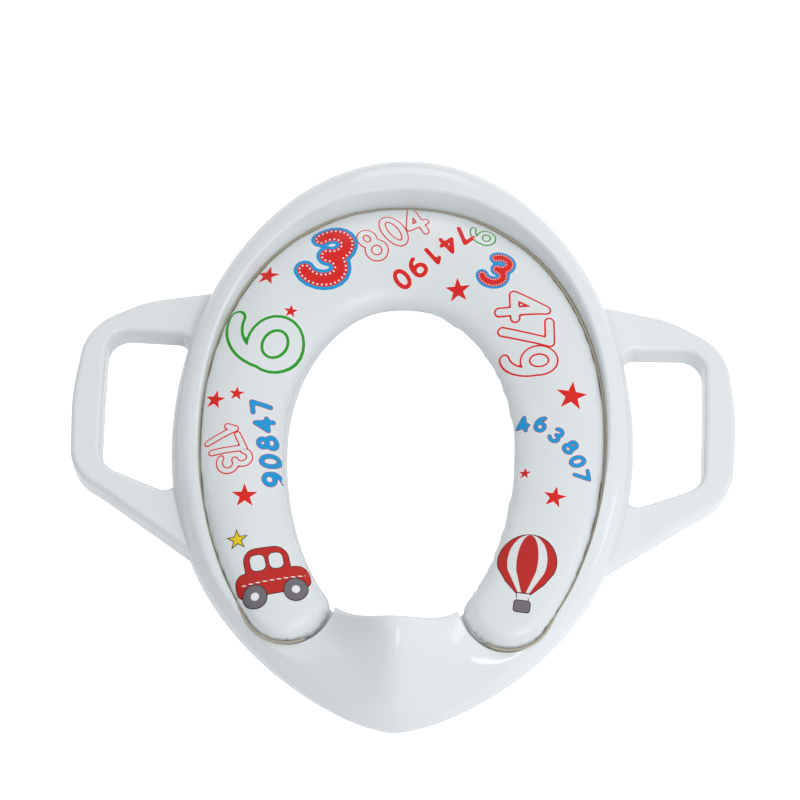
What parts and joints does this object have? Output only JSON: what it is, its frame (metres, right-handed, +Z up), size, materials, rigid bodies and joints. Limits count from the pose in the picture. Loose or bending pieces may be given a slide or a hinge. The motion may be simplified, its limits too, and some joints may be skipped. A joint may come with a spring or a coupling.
{
  "type": "potty training seat",
  "caption": "Padded child's seat with a splash guard, a raised rim and two loop handles that lies on an adult toilet seat, located by a skirt below.",
  "frame": {"origin": "middle of the seat in plan, on the plane that the locating skirt stands on", "axes": "+X across the seat through the handles, +Y to the rear (away from the splash guard), +Z up"},
  "size_m": [0.404, 0.3642, 0.0744],
  "materials": {
    "shell": "glossy injection-moulded polypropylene, cool white",
    "cover": "smooth semi-gloss white PVC skin with a coloured print",
    "foam": "soft open-cell polyurethane foam",
    "base": "moulded polypropylene plate",
    "pads": "soft matt anti-slip rubber"
  },
  "bodies": {
    "root": {"seat_shell": "shell", "cushion_cover": "cover", "cushion_foam": "foam", "cushion_base": "base", "anti_slip_pad_rear_right": "pads", "anti_slip_pad_front_right": "pads", "anti_slip_pad_rear_left": "pads", "anti_slip_pad_front_left": "pads"}
  },
  "joints": []
}
